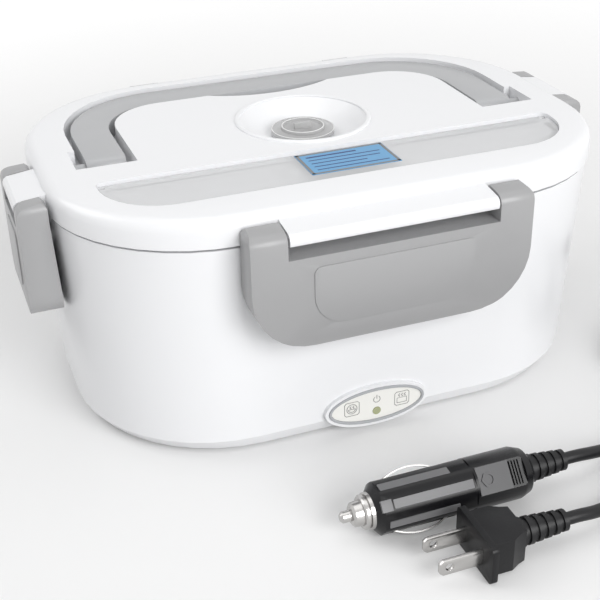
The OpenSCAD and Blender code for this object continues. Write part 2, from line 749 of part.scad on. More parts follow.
module window_cover() color("lightcyan") {
    difference() {
        plate(window_shape(-window_gap), cover_low, cover_low + window_t);
        translate([-window_l, window_pivot_y, cover_low - 1]) cube([2*window_l, 10, window_t + 2]);
        // Corners that would foul the lid as the cover flips up
        for (side = [-1, 1]) translate([side*window_l/2 - 3.4, window_pivot_y - 3.2, cover_low - 1])
            cube([6.8, 10, window_t + 2]);
    }
    translate([0, window_pivot_y, window_pivot_z]) {
        rod_x(window_t/2 - 0.05, 6 - window_l/2, window_l/2 - 6);
        rod_x(window_pin_r, -window_l/2 - 1.5, window_l/2 + 1.5);
    }
}

label_l = 38.6;
label_w = 21.4;
module window_label() color("steelblue")
    translate([1.2 - label_l/2, window_pivot_y - 0.9 - label_w, cover_low + window_t])
        cube([label_l, label_w, 0.2]);

module vent_seat() color("lightgray") translate([0, vent_y, 0]) difference() {
    union() {
        translate([0, 0, liner_z]) cylinder(r = vent_hole_r - 0.05, h = dish_z - liner_z);
        translate([0, 0, dish_z]) cylinder(r = vent_hole_r + 2, h = 0.8);
    }
    translate([0, 0, liner_z - 1]) cylinder(r = vent_hole_r - 1.5, h = dish_z);
}

module vent_plug() color("gainsboro") translate([0, vent_y, dish_z + 0.8 + fit]) {
    cylinder(r = plug_r, h = 1.8);
    translate([0, 0, lid_z - dish_z]) cylinder(r = vent_hole_r - 1.8, h = dish_z - lid_z);
    translate([0, 0, 1.7]) difference() {
        cylinder(r = plug_r*0.7, h = 1.2);
        translate([0, 0, -1]) cylinder(r = plug_r*0.7 - 1.2, h = 3);
    }
    // Finger tab
    translate([-4, -0.9, 1.7]) cube([8, 1.8, 2.6]);
}

module carry_handle() color("silver") difference() {
    union() {
        translate([0, 0, handle_z]) linear_extrude(handle_t) difference() {
            polygon(arch(handle_l/2, pivot_y, handle_back, handle_r));
            polygon(arch(handle_l/2 - handle_w, pivot_y - 40, handle_back - handle_w,
                handle_r - handle_w));
        }
        for (side = [-1, 1]) translate([side*(handle_l - handle_w)/2, pivot_y, pivot_z])
            rod_x(handle_t/2 - 0.05, -handle_w/2, handle_w/2);
    }
    translate([0, pivot_y, pivot_z]) for (side = [-1, 1]) mirror([side < 0 ? 1 : 0, 0, 0])
        rod_x(handle_pin_r + 0.02, handle_l/2 - 9, handle_l/2 + 1);
}

module handle_pins() color("silver") translate([0, pivot_y, pivot_z])
    for (side = [-1, 1]) mirror([side < 0 ? 1 : 0, 0, 0])
        rod_x(handle_pin_r, handle_l/2 - 8.8, pocket_x + lid_wall - 0.2);

// ---------- Tubes: wires and leads ----------

function unit(v) = v/norm(v);
function heading(path, i) =
    let (last = len(path) - 1, a = max(i - 1, 0), b = min(i + 1, last))
    i == 0 || i == last ? unit(path[b] - path[a])
        : unit(unit(path[i + 1] - path[i]) + unit(path[i] - path[i - 1]));

module tube(path, r, sides) {
    m = len(path);
    points = [for (i = [0 : m - 1])
        let (t = heading(path, i), u = unit(cross(t, [0, 0, 1])), v = cross(t, u))
        for (k = [0 : sides - 1]) path[i] + r*(cos(360*k/sides)*u + sin(360*k/sides)*v)];
    walls = [for (i = [0 : m - 2]) for (k = [0 : sides - 1])
        let (a = i*sides + k, b = i*sides + (k + 1) % sides)
        each [[a, a + sides, b + sides], [a, b + sides, b]]];
    ends = [[for (k = [0 : sides - 1]) k], [for (k = [sides - 1 : -1 : 0]) (m - 1)*sides + k]];
    polyhedron(points, concat(walls, ends));
}

// Wires from the inlets to the heater and the light, and their points
wire_r = 0.9;
pin_end = element_l/2 + 8;                  // end of the element's terminals
wire_live = [[98, 12.5, 25], [92, 12.5, 24.5], [84, 11, 24], [76, 9, 24.5],
    [pin_end + 9, 8, 26.5], [pin_end + 4, 7.5, 29], [pin_end, 7.5, 29]];
wire_neutral = [[98, 7.5, 25], [92, 7, 24.5], [82, 4, 24], [72, 1, 24.5], [62, 0, 26],
    [48, 0, 27.5], [32, -4, 27], [16, -9.5, 26.4], [10, -11, 26.4], [6, -11, 26.4]];
wire_car = [[100, -9.5, 25], [94, -9.5, 24.5], [84, -9, 24], [76, -8, 24.5],
    [pin_end + 9, -7.5, 26.5], [pin_end + 4, -7.5, 29], [pin_end, -7.5, 29]];
wire_light = [[14, -68, 9], [22, -67, 8], [34, -60, 7], [50, -48, 7], [64, -34, 8],
    [74, -22, 12], [84, -14, 19], [92, -12.5, 24], [96, -12.5, 25], [100, -12.5, 25]];

module internal_wires() color("firebrick")
    for (wire = [wire_live, wire_neutral, wire_car, wire_light]) tube(wire, wire_r, 8);

// A coil from an outer start, spiralling in on the surface and out again on top.
// It turns clockwise where way is -1, and both ends run straight for a diameter.
coil_r = 37;
coil_pitch = 5.5;
coil_lift = 5.7;
coil_steps = 24;
lie_z = 3.2;                                // axis of a coil's lower turns, on its tie
tie_t = 0.6;

function clamp01(v) = max(0, min(1, v));
function ease(v) = v*v*(3 - 2*v);
function coil_point(c, turns, a0, way, t) =
    let (r = coil_r - coil_pitch*min(t, turns - t), a = a0 + way*360*t)
    [c.x + r*cos(a), c.y + r*sin(a), lie_z + coil_lift*ease(clamp01(2*(t - turns/2) + 0.5))];
function coil_path(c, turns, a0, way) =
    let (n = turns*coil_steps, end = a0 + way*360*turns,
        points = [for (i = [0 : n]) coil_point(c, turns, a0, way, i/coil_steps)],
        run_in = cord_d*way*[sin(a0), -cos(a0), 0], run_out = cord_d*way*[-sin(end), cos(end), 0])
    concat([points[0] + run_in], points, [points[n] + run_out]);

// Least distance between points half a turn or more apart, less the lead's diameter
function coil_gap(path) = min([for (i = [1 : len(path) - 2]) for (j = [i + coil_steps/2 : len(path) - 2])
    if (j > i + coil_steps/2) norm(path[i] - path[j])]) - cord_d;

ac_centre = [112, -176];
ac_turns = 6;
ac_coil_path = coil_path(ac_centre, ac_turns, 90, -1);
car_centre = [154, -93];
car_turns = 6.25;
car_coil_path = coil_path(car_centre, car_turns, -90, 1);
echo(ac_coil_gap = coil_gap(ac_coil_path), car_coil_gap = coil_gap(car_coil_path));

ac_lead_path = [[34, -170, 8], [40, -170, 8], [48, -169.2, 6.8], [56, -166.4, 5], [64, -161.6, 3.6],
    [72, -155.6, 2.8], [80, -149.4, 2.6], [88, -144, 2.6], [95, -140.4, 2.8], [101, -139, 3.2],
    [107, -139, 3.2]];
ac_end_path = [[117, -139, 8.9], [123, -139, 8.9], [132, -138.2, 8.5], [141, -138.8, 7],
    [148, -142, 5.2], [154, -148.5, 3.6], [158, -156.5, 2.8], [160, -165, 3], [160.5, -173, 4.4],
    [160.5, -181, 5.7], [160.5, -187, 6], [160.5, -193, 6]];
car_lead_path = [[51, -141, 10.2], [57, -141, 10.2], [65, -140, 8.8], [74, -137.6, 6.4],
    [84, -134.6, 4.2], [95, -132, 2.9], [107, -130.4, 2.6], [119, -130, 2.6], [131, -130, 2.8],
    [141, -130, 3.2], [149, -130, 3.2]];
car_end_path = [[191, -88, 8.9], [191, -82, 8.9], [190.6, -74, 7.6], [189.6, -66, 5.4],
    [189, -58, 4.8], [189, -51, 5.6], [189, -46, 6], [189, -40, 6]];

module lead(path) color("black") tube(path, cord_d/2, 10);
module ac_lead() lead(ac_lead_path);
module ac_lead_end() lead(ac_end_path);
module car_lead() lead(car_lead_path);
module car_lead_end() lead(car_end_path);
module ac_coil() color("black") tube(ac_coil_path, cord_d/2, 6);
module car_coil() color("black") tube(car_coil_path, cord_d/2, 6);

// Solid of revolution along X from (x, r) pairs
module turned(points) rotate([90, 0, 90]) rotate_extrude() polygon([for (p = points) [p.y, p.x]]);

// Ribbed strain relief along X, from x = 0 to length
module relief(length, r0, r1, ribs) {
    step = length/(2*ribs + 1);
    turned(concat([[0, 0]], [for (i = [0 : 2*ribs]) let (r = r0 + (r1 - r0)*i/(2*ribs),
        out = i % 2 == 0 ? r : r - 0.9) each [[i*step, out], [(i + 1)*step, out]]], [[length, 0]]));
}

// Mains plug: axis along X, blades towards -X, x = 0 at the face's back
module at_ac() translate([-0.5, -170, face_h/2]) children();
face_t = 2.5;
plug_l = 14.5;
blade_in = 5;

module ac_plug() color("black") at_ac() difference() {
    union() {
        along_x(shield_shape(face_w/2, -face_h/2, face_h/2, 2, 2), -face_t, 0);
        translate([0, 0, 1 - face_h/2]) linear_extrude(face_h - 2)
            polygon([[-1, -10], [8, -10], [11.5, -8], [plug_l, -7], [plug_l, 7], [11.5, 8], [8, 10],
                [-1, 10]]);
    }
    for (side = [-1, 1]) translate([-face_t - 1, side*blade_pitch/2 - blade_t/2 - 0.02,
        -blade_w/2 - 0.02]) cube([blade_in + 1, blade_t + 0.04, blade_w + 0.04]);
}

module ac_blades() color("silver") at_ac() for (side = [-1, 1])
    translate([-face_t - blade_l, side*blade_pitch/2, 0]) difference() {
        along_y([[0, 1.2 - blade_w/2], [1.4, -blade_w/2], [blade_l + blade_in, -blade_w/2],
            [blade_l + blade_in, blade_w/2], [1.4, blade_w/2], [0, blade_w/2 - 1.2]],
            -blade_t/2, blade_t/2);
        translate([3.9, 0, 0]) rod_y(1.6, -2, 2);
    }

module ac_strain_relief() color("black") at_ac() translate([plug_l, 0, 0]) relief(20, 5.6, 4.2, 5);

// Car plug: axis along X, tip towards -X, x = 0 at the barrel's front. Its nose has
// eight flats, rolled so that one faces up and forward, with a bowed spring on each side.
module at_car() translate([-31, -141, barrel_r]) children();
roll = 41;
flat_r = barrel_r - 0.5;                    // from the axis to a flat
nose_l = 40;                                // length with flats
cap_l = 7.5;
tip_out = 4.2;                              // tip in front of the cap at rest
tip_hole = 14 + tip_travel;
plate_x = nose_l + 1;
plate_len = 13.5;
plate_wide = 10.6;
plate_flat = 8.6;                           // flat under the inset plate, from the axis
strips = [[86, 3.3, 28.4, 3.6], [41, 6.5, 32.5, 3.4], [41, 1.6, 4.3, 4.4], [-4, 4.1, 28.4, 3]];

// Puts a child that is built facing local -Y at an angle above the forward direction
module faced(angle) rotate([-angle, 0, 0]) children();

module strip_blocks() for (s = strips) faced(s[0])
    translate([s[1], -flat_r - 0.35, -s[3]/2]) cube([s[2], 1.35, s[3]]);

module car_plug() color("black") at_car() difference() {
    union() {
        intersection() {
            turned([[0, 0], [0, barrel_r - 3.2], [2.6, barrel_r], [nose_l, barrel_r], [nose_l, 0]]);
            rotate([roll, 0, 0]) along_x([for (k = [0 : 7]) flat_r/cos(22.5)
                *[cos(45*k + 22.5), sin(45*k + 22.5)]], -1, nose_l + 1);
        }
        difference() {
            turned([[nose_l, 0], [nose_l, barrel_r], [barrel_l - 6, barrel_r],
                [barrel_l - 2, barrel_r - 1.4], [barrel_l, barrel_r - 4], [barrel_l, 0]]);
            faced(roll) translate([plate_x, -barrel_r - 1, -8])
                cube([barrel_l - 5 - plate_x, barrel_r + 1 - plate_flat, 16]);
        }
        // Grip ribs behind the inset plate
        for (k = [0 : 3]) faced(roll)
            translate([plate_x + plate_len + 0.8 + 1.2*k, -plate_flat - 0.8, -4.6])
                cube([0.6, 1.6, 9.2]);
    }
    rod_x(tip_r + 1.5, -1, tip_hole);
    strip_blocks();
    // Slots that the side springs sit in
    for (side = [-1, 1]) faced(roll + side*90)
        translate([4, -barrel_r - 1, -2]) cube([28, 3.6, 4]);
}

module car_strips() color("gray") at_car() strip_blocks();

module car_inset_plate() color("dimgray") at_car() faced(roll) {
    translate([plate_x, -plate_flat - 0.8, -plate_wide/2]) cube([plate_len, 0.8, plate_wide]);
    translate([plate_x + 4.2, 0, 0]) difference() {
        rotate([90, 0, 0]) translate([0, 0, plate_flat + 0.7]) cylinder(r = 2.9, h = 0.5, $fn = 6);
        rod_y(1.9, -plate_flat - 2, -plate_flat - 0.8);
    }
}

module car_nose_cap() color("silver") at_car() difference() {
    turned([[-cap_l, 0], [-cap_l, 3.6], [-cap_l + 0.8, 4.6], [-3.6, 4.9], [-3.6, 6], [-3, 6.6],
        [-2.2, 6.6], [-2, 6.1], [-1.6, 6.1], [-1.4, barrel_r - 3.2], [0, barrel_r - 3.2], [0, 0]]);
    rod_x(tip_r + pin_gap, -cap_l - 1, 1);
}

module car_tip() color("silver") at_car() {
    turned([[-cap_l - tip_out, 0], [-cap_l - tip_out, tip_r - 0.8], [-cap_l - tip_out + 0.8, tip_r],
        [10, tip_r], [10, 0]]);
    rod_x(tip_r + 1.2, 0.3, 2.3);
}

// A bowed leaf spring on each side of the nose
spring_l = 26;
spring_bow = 4.1;
spring_r = (spring_l*spring_l/4 + spring_bow*spring_bow)/(2*spring_bow);
spring_half = asin(spring_l/2/spring_r);
module car_side_springs() color("silver") at_car() for (side = [-1, 1]) faced(roll + side*90)
    translate([18, spring_r - spring_bow - barrel_r + 1.9, -0.8]) linear_extrude(1.6) polygon(concat(
        [for (i = [0 : 8]) let (a = spring_half*(i/4 - 1) - 90) spring_r*[cos(a), sin(a)]],
        [for (i = [8 : -1 : 0]) let (a = spring_half*(i/4 - 1) - 90)
            (spring_r - 0.5)*[cos(a), sin(a)]]));

module car_strain_relief() color("black") at_car() translate([barrel_l, 0, 0]) relief(16, 5.6, 4.2, 4);

// Box-end connector along X: tapered relief from x = 0, then the grip
relief_l = 20;
grip_l = 13;
module connector() turned([[0, 0], [0, cord_d/2 + 0.8], [relief_l, connector_r - 1.4],
    [relief_l, connector_r], [relief_l + grip_l, connector_r], [relief_l + grip_l, 0]]);

module at_ac_end() translate([160.5, -193, 6]) rotate([0, 0, -90]) children();
module at_car_end() translate([189, -40, 6]) rotate([0, 0, 90]) children();

module ac_connector() color("black") at_ac_end() difference() {
    connector();
    for (side = [-1, 1]) translate([0, side*2.6, 0]) rod_x(1.3, relief_l + 1, relief_l + grip_l + 1);
}

module car_connector() color("black") at_car_end() connector();
module car_jack() color("silver") at_car_end() difference() {
    rod_x(2.7, relief_l + grip_l, relief_l + grip_l + 9.5);
    rod_x(1.1, relief_l + grip_l + 1, relief_l + grip_l + 10);
}

// A tie round the turns of each coil
tie_low = 18.4;                             // inner edge, from the coil's centre
tie_long = 19.3;
tie_wide = 4;
tie_high = lie_z + coil_lift + cord_d/2 + fit + tie_t;
module tie() difference() {
    translate([-tie_wide/2, tie_low, 0]) cube([tie_wide, tie_long, tie_high]);
    translate([-tie_wide, tie_low + tie_t, tie_t])
        cube([2*tie_wide, tie_long - 2*tie_t, tie_high - 2*tie_t]);
}
module cord_ties() color("black") {
    translate([ac_centre.x, ac_centre.y, 0]) rotate([0, 0, 180]) tie();
    translate([car_centre.x, car_centre.y, 0]) tie();
}

outer_shell();
inner_tub();
bottom_cover();
rubber_feet();
cover_screws();
heating_plate();
plate_screws();
heating_element();
heat_shield();
thermostat();
thermal_fuse();
ac_inlet();
dc_inlet();
panel_bezel();
panel_face();
power_led();
led_board();
steel_container();
food_tray();
lid_shell();
lid_liner();
lid_seal();
liner_screws();
window_cover();
window_label();
vent_seat();
vent_plug();
carry_handle();
handle_pins();
latch_front();
latch_back();
latch_left();
latch_right();
hinge_pins_long();
hinge_pins_short();
internal_wires();
ac_plug();
ac_blades();
ac_strain_relief();
ac_lead();
ac_coil();
ac_lead_end();
ac_connector();
car_plug();
car_strips();
car_inset_plate();
car_nose_cap();
car_tip();
car_side_springs();
car_strain_relief();
car_lead();
car_coil();
car_lead_end();
car_connector();
car_jack();
cord_ties();
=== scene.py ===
import bpy, bmesh, json, math
from mathutils import Matrix, Vector


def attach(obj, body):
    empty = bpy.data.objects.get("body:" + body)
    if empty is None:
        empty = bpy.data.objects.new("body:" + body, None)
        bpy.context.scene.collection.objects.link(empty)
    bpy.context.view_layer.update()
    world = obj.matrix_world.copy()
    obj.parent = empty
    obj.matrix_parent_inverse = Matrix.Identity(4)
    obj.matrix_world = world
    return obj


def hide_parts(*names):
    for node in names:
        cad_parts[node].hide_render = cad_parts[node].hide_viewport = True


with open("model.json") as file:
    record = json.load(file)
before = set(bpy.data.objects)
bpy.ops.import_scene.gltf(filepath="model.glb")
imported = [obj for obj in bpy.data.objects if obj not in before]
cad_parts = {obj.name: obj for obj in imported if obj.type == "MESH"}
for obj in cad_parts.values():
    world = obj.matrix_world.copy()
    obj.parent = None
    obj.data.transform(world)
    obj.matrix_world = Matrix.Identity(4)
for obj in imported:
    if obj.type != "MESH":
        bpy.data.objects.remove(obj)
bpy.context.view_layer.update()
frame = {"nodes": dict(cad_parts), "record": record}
MM = 0.001

# ---------- Camera ----------
def camera():
    az, el, roll = math.radians(-19.94), math.radians(29.11), math.radians(-1.344)
    back = Vector((math.sin(az)*math.cos(el), -math.cos(az)*math.cos(el), math.sin(el)))
    right = (-back).cross(Vector((0, 0, 1))).normalized()
    up = right.cross(-back).normalized()
    c, s = math.cos(roll), math.sin(roll)
    r2, u2 = c*right + s*up, c*up - s*right
    data = bpy.data.cameras.new("camera")
    data.sensor_width, data.lens, data.clip_start = 36, 68.87, 0.01
    o = bpy.data.objects.new("camera", data)
    m = Matrix((r2, u2, back)).transposed().to_4x4()
    m.translation = Vector((-166.4, -444.8, 284.4))*MM
    o.matrix_world = m
    bpy.context.collection.objects.link(o)
    bpy.context.scene.camera = o
camera()

# ---------- Materials ----------
def material(name, color, rough=0.4, metal=0.0, grain=900, bump=0.02, vary=0.03, coat=0.0, coat_rough=0.1,
             trans=0.0, alpha=1.0, ior=1.46, stretch=(1, 1, 1), rough_vary=0.06, emit=0.0, spec=0.5):
    """Plastic, rubber or metal with fine bump, broad colour variation and varied roughness"""
    m = bpy.data.materials.new(name)
    m.use_nodes = True
    nt = m.node_tree
    b = nt.nodes["Principled BSDF"]
    co = nt.nodes.new("ShaderNodeTexCoord")
    mp = nt.nodes.new("ShaderNodeMapping")
    mp.inputs["Scale"].default_value = stretch
    nt.links.new(co.outputs["Object"], mp.inputs["Vector"])
    fine = nt.nodes.new("ShaderNodeTexNoise")
    fine.inputs["Scale"].default_value, fine.inputs["Detail"].default_value = grain, 3
    wide = nt.nodes.new("ShaderNodeTexNoise")
    wide.inputs["Scale"].default_value, wide.inputs["Detail"].default_value = 18, 4
    for t in (fine, wide):
        nt.links.new(mp.outputs["Vector"], t.inputs["Vector"])
    bp = nt.nodes.new("ShaderNodeBump")
    bp.inputs["Strength"].default_value, bp.inputs["Distance"].default_value = bump, 0.0004
    nt.links.new(fine.outputs["Fac"], bp.inputs["Height"])
    nt.links.new(bp.outputs["Normal"], b.inputs["Normal"])
    mix = nt.nodes.new("ShaderNodeMix"); mix.data_type = "RGBA"
    mix.inputs[6].default_value = (*[max(0, c*(1 - vary)) for c in color], 1)
    mix.inputs[7].default_value = (*[min(1, c*(1 + vary)) for c in color], 1)
    nt.links.new(wide.outputs["Fac"], mix.inputs["Factor"])
    nt.links.new(mix.outputs[2], b.inputs["Base Color"])
    rr = nt.nodes.new("ShaderNodeMapRange")
    rr.inputs["To Min"].default_value = max(0.02, rough - rough_vary)
    rr.inputs["To Max"].default_value = min(1, rough + rough_vary)
    nt.links.new(wide.outputs["Fac"], rr.inputs["Value"])
    nt.links.new(rr.outputs["Result"], b.inputs["Roughness"])
    b.inputs["Metallic"].default_value = metal
    b.inputs["Coat Weight"].default_value = coat
    b.inputs["Coat Roughness"].default_value = coat_rough
    b.inputs["Transmission Weight"].default_value = trans
    b.inputs["Alpha"].default_value = alpha
    b.inputs["IOR"].default_value = ior
    b.inputs["Specular IOR Level"].default_value = spec
    if emit:
        b.inputs["Emission Color"].default_value = (*color, 1)
        b.inputs["Emission Strength"].default_value = emit
    return m

MATS = {
    "white_body": dict(color=(0.845, 0.85, 0.865), rough=0.3, bump=0.015, coat=0.25, coat_rough=0.15, vary=0.01),
    "white_inner": dict(color=(0.76, 0.77, 0.78), rough=0.42, bump=0.04, vary=0.02),
    "base_cover": dict(color=(0.66, 0.67, 0.68), rough=0.55, bump=0.1, vary=0.02),
    "latch_grey": dict(color=(0.35, 0.35, 0.355), rough=0.36, bump=0.03, vary=0.02, coat=0.1, coat_rough=0.25),
    "handle_grey": dict(color=(0.43, 0.435, 0.445), rough=0.36, bump=0.03, vary=0.02, coat=0.1, coat_rough=0.25),
    "foot_rubber": dict(color=(0.05, 0.05, 0.052), rough=0.8, bump=0.2, vary=0.15),
    "screw_steel": dict(color=(0.6, 0.6, 0.61), rough=0.3, metal=1, bump=0.03),
    "plate_aluminium": dict(color=(0.75, 0.76, 0.77), rough=0.35, metal=1, bump=0.08, stretch=(1, 30, 1)),
    "element_copper": dict(color=(0.42, 0.28, 0.2), rough=0.45, metal=1, bump=0.08, vary=0.2),
    "shield_steel": dict(color=(0.58, 0.6, 0.63), rough=0.32, metal=1, bump=0.05, vary=0.1),
    "control_black": dict(color=(0.025, 0.025, 0.027), rough=0.4, bump=0.06, vary=0.1),
    "fuse_ceramic": dict(color=(0.7, 0.6, 0.45), rough=0.6, bump=0.1, vary=0.08),
    "ring_grey": dict(color=(0.42, 0.43, 0.45), rough=0.28, bump=0.02, coat=0.2),
    "panel_white": dict(color=(0.86, 0.855, 0.82), rough=0.35, bump=0.015, coat=0.2, vary=0.01),
    "led_lens": dict(color=(0.36, 0.38, 0.22), rough=0.2, bump=0.01, emit=0.08, coat=0.3),
    "board_green": dict(color=(0.02, 0.14, 0.06), rough=0.4, bump=0.1, vary=0.2),
    "container_steel": dict(color=(0.62, 0.63, 0.64), rough=0.25, metal=1, bump=0.06, stretch=(1, 1, 40)),
    "tray_clear": dict(color=(0.75, 0.79, 0.82), rough=0.3, bump=0.03, trans=0.35, vary=0.02),
    "seal_silicone": dict(color=(0.55, 0.56, 0.57), rough=0.6, bump=0.06, vary=0.03),
    "window_clear": dict(color=(0.86, 0.865, 0.875), rough=0.3, bump=0.01, alpha=0.55, vary=0.01, coat=0.25),
    "label_blue": dict(color=(0.13, 0.35, 0.60), rough=0.4, bump=0.02, vary=0.03),
    "vent_white": dict(color=(0.56, 0.56, 0.56), rough=0.2, bump=0.02, vary=0.03, alpha=0.62, coat=0.4),
    "wire_red": dict(color=(0.35, 0.03, 0.02), rough=0.5, bump=0.04, vary=0.06),
    "cord_black": dict(color=(0.01, 0.01, 0.011), spec=0.35, rough=0.4, bump=0.06, vary=0.15),
    "plug_black": dict(color=(0.007, 0.007, 0.008), spec=0.3, rough=0.34, bump=0.08, vary=0.15),
    "barrel_black": dict(color=(0.007, 0.007, 0.008), spec=0.35, rough=0.26, bump=0.03, vary=0.15),
    "strip_grey": dict(color=(0.16, 0.16, 0.165), rough=0.4, bump=0.04, vary=0.05),
    "nickel": dict(color=(0.5, 0.49, 0.48), rough=0.24, metal=1, bump=0.02),
}
mats = {k: material(k, **v) for k, v in MATS.items()}

# Smooth shading by angle, as a modifier, so that the CAD meshes stay as they are
def smooth_group():
    g = bpy.data.node_groups.new("shade_by_angle", "GeometryNodeTree")
    g.interface.new_socket("Geometry", in_out="INPUT", socket_type="NodeSocketGeometry")
    g.interface.new_socket("Geometry", in_out="OUTPUT", socket_type="NodeSocketGeometry")
    i, o = g.nodes.new("NodeGroupInput"), g.nodes.new("NodeGroupOutput")
    merge = g.nodes.new("GeometryNodeMergeByDistance"); merge.inputs["Distance"].default_value = 1e-6
    faces = g.nodes.new("GeometryNodeSetShadeSmooth"); faces.domain = "FACE"
    edges = g.nodes.new("GeometryNodeSetShadeSmooth"); edges.domain = "EDGE"
    angle = g.nodes.new("GeometryNodeInputMeshEdgeAngle")
    less = g.nodes.new("FunctionNodeCompare"); less.data_type, less.operation = "FLOAT", "LESS_THAN"
    less.inputs[1].default_value = math.radians(27)
    g.links.new(i.outputs[0], merge.inputs["Geometry"])
    g.links.new(merge.outputs["Geometry"], faces.inputs["Geometry"])
    g.links.new(faces.outputs["Geometry"], edges.inputs["Geometry"])
    g.links.new(angle.outputs["Unsigned Angle"], less.inputs[0])
    g.links.new(less.outputs["Result"], edges.inputs["Shade Smooth"])
    g.links.new(edges.outputs["Geometry"], o.inputs[0])
    return g
SMOOTH = smooth_group()

def soften(o, bevel=0.0, segments=2):
    if bevel:
        w = o.modifiers.new("weld", "WELD"); w.merge_threshold = 1e-6
        b = o.modifiers.new("bevel", "BEVEL")
        b.width, b.segments, b.limit_method, b.angle_limit = bevel*MM, segments, "ANGLE", math.radians(38)
        b.harden_normals = False
    s = o.modifiers.new("smooth", "NODES"); s.node_group = SMOOTH

BEVEL = {"latch_front": 0.9, "latch_back": 0.9, "latch_left": 0.9, "latch_right": 0.9, "carry_handle": 0.9,
         "ac_plug": 0.5, "vent_plug": 0.25, "panel_bezel": 0.3, "window_cover": 0.2, "car_strips": 0.15,
         "bottom_cover": 0.2, "food_tray": 0.3, "ac_blades": 0.12}
OWN = {"car_inset_plate": material("inset_plate", (0.045, 0.045, 0.048), rough=0.35, bump=0.03),
       "car_side_springs": material("spring_wire", (0.24, 0.235, 0.23), rough=0.3, metal=1, bump=0.02)}
for part in frame["record"]["subparts"]:
    o = frame["nodes"][part["node"]]
    if o.data.materials:
        for k in range(len(o.data.materials)):
            o.material_slots[k].link = "OBJECT"
            o.material_slots[k].material = OWN.get(part["node"], mats[part["material_slot"]])
    soften(o, BEVEL.get(part["node"], 0))

# ---------- Cords ----------
COIL_R, COIL_PITCH = 37, 5.5        # outer radius of a coil, and the step between its turns
LIE_Z, COIL_LIFT = 3.2, 5.7         # height of the lower layer, and how far the upper one stands over it
def clamp01(v): return max(0.0, min(1.0, v))
def coil(c, turns, a0, way, steps=24):
    pts, n = [], round(turns*steps)
    for i in range(n + 1):
        t = i/steps
        r, a = COIL_R - COIL_PITCH*min(t, turns - t), math.radians(a0 + way*360*t)
        v = clamp01(2*(t - turns/2) + 0.5)
        pts.append((c[0] + r*math.cos(a), c[1] + r*math.sin(a), LIE_Z + COIL_LIFT*v*v*(3 - 2*v)))
    return pts

def curve(name, pts, depth, mat, body, splines=False, res=4, kind="BEZIER"):
    cu = bpy.data.curves.new(name, "CURVE")
    cu.dimensions, cu.bevel_depth, cu.bevel_resolution = "3D", depth*MM, 4
    cu.resolution_u, cu.use_fill_caps = res, True
    for line in (pts if splines else [pts]):
        s = cu.splines.new(kind)
        if kind == "BEZIER":
            s.bezier_points.add(len(line) - 1)
            for q, p in zip(s.bezier_points, line):
                q.co = Vector(p)*MM
                q.handle_left_type = q.handle_right_type = "AUTO"
        else:
            s.points.add(len(line) - 1)
            for q, p in zip(s.points, line):
                q.co = (*(Vector(p)*MM), 1)
    cu.materials.append(mat)
    o = bpy.data.objects.new(name, cu)
    bpy.context.collection.objects.link(o)
    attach(o, body)
    return o

AC_LEAD = [(34, -170, 8), (40, -170, 8), (48, -169.2, 6.8), (56, -166.4, 5), (64, -161.6, 3.6), (72, -155.6, 2.8),
           (80, -149.4, 2.6), (88, -144, 2.6), (95, -140.4, 2.8), (101, -139, 3.2), (107, -139, 3.2)]
AC_END = [(117, -139, 8.9), (123, -139, 8.9), (132, -138.2, 8.5), (141, -138.8, 7), (148, -142, 5.2),
          (154, -148.5, 3.6), (158, -156.5, 2.8), (160, -165, 3), (160.5, -173, 4.4), (160.5, -181, 5.7),
          (160.5, -187, 6), (160.5, -193, 6)]
CAR_LEAD = [(51, -141, 10.2), (57, -141, 10.2), (65, -140, 8.8), (74, -137.6, 6.4), (84, -134.6, 4.2),
            (95, -132, 2.9),
            (107, -130.4, 2.6), (119, -130, 2.6), (131, -130, 2.8), (141, -130, 3.2), (149, -130, 3.2)]
CAR_END = [(191, -88, 8.9), (191, -82, 8.9), (190.6, -74, 7.6), (189.6, -66, 5.4), (189, -58, 4.8), (189, -51, 5.6),
           (189, -46, 6), (189, -40, 6)]

nodes = frame["nodes"]
for name, pts, mids, plug, end in (
        ("ac_cord", AC_LEAD + coil((112, -176), 6, 90, -1) + AC_END, ("ac_lead", "ac_coil", "ac_lead_end"),
         ("ac_plug", "ac_blades", "ac_strain_relief"), ("ac_connector",)),
        ("car_cord", CAR_LEAD + coil((154, -93), 6.25, -90, 1) + CAR_END, ("car_lead", "car_coil", "car_lead_end"),
         ("car_plug", "car_strips", "car_inset_plate", "car_nose_cap", "car_tip", "car_side_springs",
          "car_strain_relief"), ("car_connector", "car_jack"))):
    o = curve(name, pts, 2.5, mats["cord_black"], "base")
    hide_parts(*mids)

# ---------- Panel pictograms ----------
PY = -80.32                         # just proud of the panel's face
def wave(x, z, h=2.4): return [(x + 0.35*math.sin(k*math.pi/2.5), PY, z + h*k/7) for k in range(8)]
def arc(x, z, r, a0, a1, n=10, ry=None):
    ry = ry or r
    return [(x + r*math.cos(math.radians(a0 + (a1 - a0)*k/n)), PY, z + ry*math.sin(math.radians(a0 + (a1 - a0)*k/n)))
            for k in range(n + 1)]
def frame_of(x, z, h=3.3, c=0.8):
    pts = [(x - h + c, z - h), (x + h - c, z - h), (x + h, z - h + c), (x + h, z + h - c), (x + h - c, z + h),
           (x - h + c, z + h), (x - h, z + h - c), (x - h, z - h + c), (x - h + c, z - h)]
    return [(a, PY, b) for a, b in pts]
XL, XR, ZI = -12.3, 10.5, 11.7      # centres of the left and right pictograms, and their height
bowl = [frame_of(XL, ZI), arc(XL, ZI, 2.3, 0, 360, 20), arc(XL, ZI - 0.1, 1.6, 180, 360, 10, 1.4),
        [(XL - 1.7, PY, ZI - 0.1), (XL + 1.7, PY, ZI - 0.1)],
        wave(XL - 0.7, ZI + 0.3, 1.2), wave(XL + 0.6, ZI + 0.3, 1.2)]
